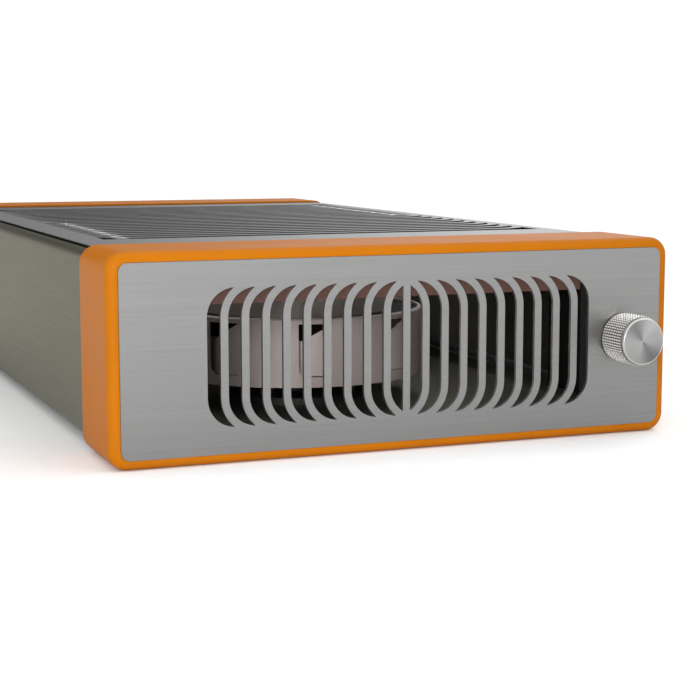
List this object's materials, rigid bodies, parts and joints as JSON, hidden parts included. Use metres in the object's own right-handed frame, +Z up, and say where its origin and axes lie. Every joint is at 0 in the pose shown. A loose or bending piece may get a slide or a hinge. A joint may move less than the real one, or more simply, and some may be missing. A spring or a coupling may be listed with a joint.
{
  "type": "portable power station",
  "caption": "Low flat power station: slotted metal case between orange end bumpers, with a turning, pressing knob, an inner blower wheel and rear sockets.",
  "frame": {"origin": "bottom centre of the bounding box, on the surface that the bumpers stand on", "axes": "-Y towards the front plate and knob, +Z up, +X to the right seen from the front"},
  "size_m": [0.24, 0.4676, 0.082],
  "materials": {
    "case_metal": "brushed along its length, greenish grey",
    "cover_metal": "satin, faintly brushed",
    "plate_metal": "brushed from side to side",
    "orange": "satin moulded",
    "knob_metal": "turned and knurled",
    "wheel_sheet": "bare sheet",
    "can_metal": "satin",
    "inner_sheet": "dark satin paint",
    "cast_metal": "as cast",
    "steel": "zinc plated",
    "black_steel": "black oxide",
    "subframe_paint": "reddish primer, satin",
    "lamination": "stacked sheet",
    "copper": "enamelled wire",
    "magnet": "plain",
    "cell_wrap": "shrink wrapped",
    "nickel": "bright",
    "fish_paper": "plain",
    "board": "solder mask",
    "component": "moulded",
    "sink_metal": "anodised",
    "capacitor_wrap": "shrink wrapped",
    "dark_plastic": "fine texture",
    "white_plastic": "plain",
    "socket_plastic": "moulded",
    "rocker_plastic": "moulded",
    "brass": "plain"
  },
  "bodies": {
    "case": {"ac_outlets": "socket_plastic", "battery_cells": "cell_wrap", "blower_base": "cast_metal", "blower_base_screws": "steel", "blower_bearings": "steel", "bms_board": "board", "bms_components": "component", "board_standoffs": "steel", "bulkhead": "inner_sheet", "bus_bars": "nickel", "capacitors": "capacitor_wrap", "case_tray": "case_metal", "cell_holder_lower": "dark_plastic", "cell_holder_upper": "dark_plastic", "charge_inlet": "dark_plastic", "control_board": "board", "control_housing": "dark_plastic", "encoder_body": "dark_plastic", "encoder_nut": "steel", "fan_frame": "dark_plastic", "fan_screws": "steel", "front_bumper": "orange", "front_plate": "plate_metal", "front_subframe": "subframe_paint", "heat_sinks": "sink_metal", "inlet_pin": "brass", "insulation_pad": "fish_paper", "inverter_board": "board", "inverter_transformer": "component", "outlet_contacts": "brass", "power_transistors": "component", "push_switch": "white_plastic", "rear_bumper": "orange", "rear_plate": "plate_metal", "rear_subframe": "subframe_paint", "rocker_frame": "dark_plastic", "stator_core": "lamination", "stator_windings": "copper", "tie_rod_nuts": "steel", "tie_rods": "black_steel", "top_cover": "cover_metal", "usb_sockets": "steel", "usb_tongues": "white_plastic"},
    "push_carriage": {"encoder_slider": "white_plastic"},
    "knob": {"knob": "knob_metal", "knob_shaft": "steel"},
    "blower": {"blower_shaft": "steel", "rotor_can": "can_metal", "rotor_magnets": "magnet", "rotor_collar": "dark_plastic", "blower_wheel": "wheel_sheet", "wheel_screws": "steel"},
    "fan": {"fan_rotor": "dark_plastic"},
    "rocker": {"rocker": "rocker_plastic"}
  },
  "joints": [
    {"name": "knob_push", "type": "slide", "parent": "case", "child": "push_carriage", "axis": [0, 1, 0], "range_m": [0, 0.0005], "stiffness_N_per_m": 6000, "springref_m": -0.0002},
    {"name": "knob_turn", "type": "hinge", "parent": "push_carriage", "child": "knob", "pos_m": [0.0978, -0.2162, 0.041], "axis": [0, 1, 0], "continuous": true},
    {"name": "blower_spin", "type": "hinge", "parent": "case", "child": "blower", "pos_m": [0, -0.0832, 0.041], "axis": [0, 0, 1], "continuous": true},
    {"name": "fan_spin", "type": "hinge", "parent": "case", "child": "fan", "pos_m": [-0.062, 0.2188, 0.041], "axis": [0, 1, 0], "continuous": true},
    {"name": "rocker_tilt", "type": "hinge", "parent": "case", "child": "rocker", "pos_m": [0.086, 0.2298, 0.056], "axis": [-1, 0, 0], "range_deg": [0, 18]}
  ]
}
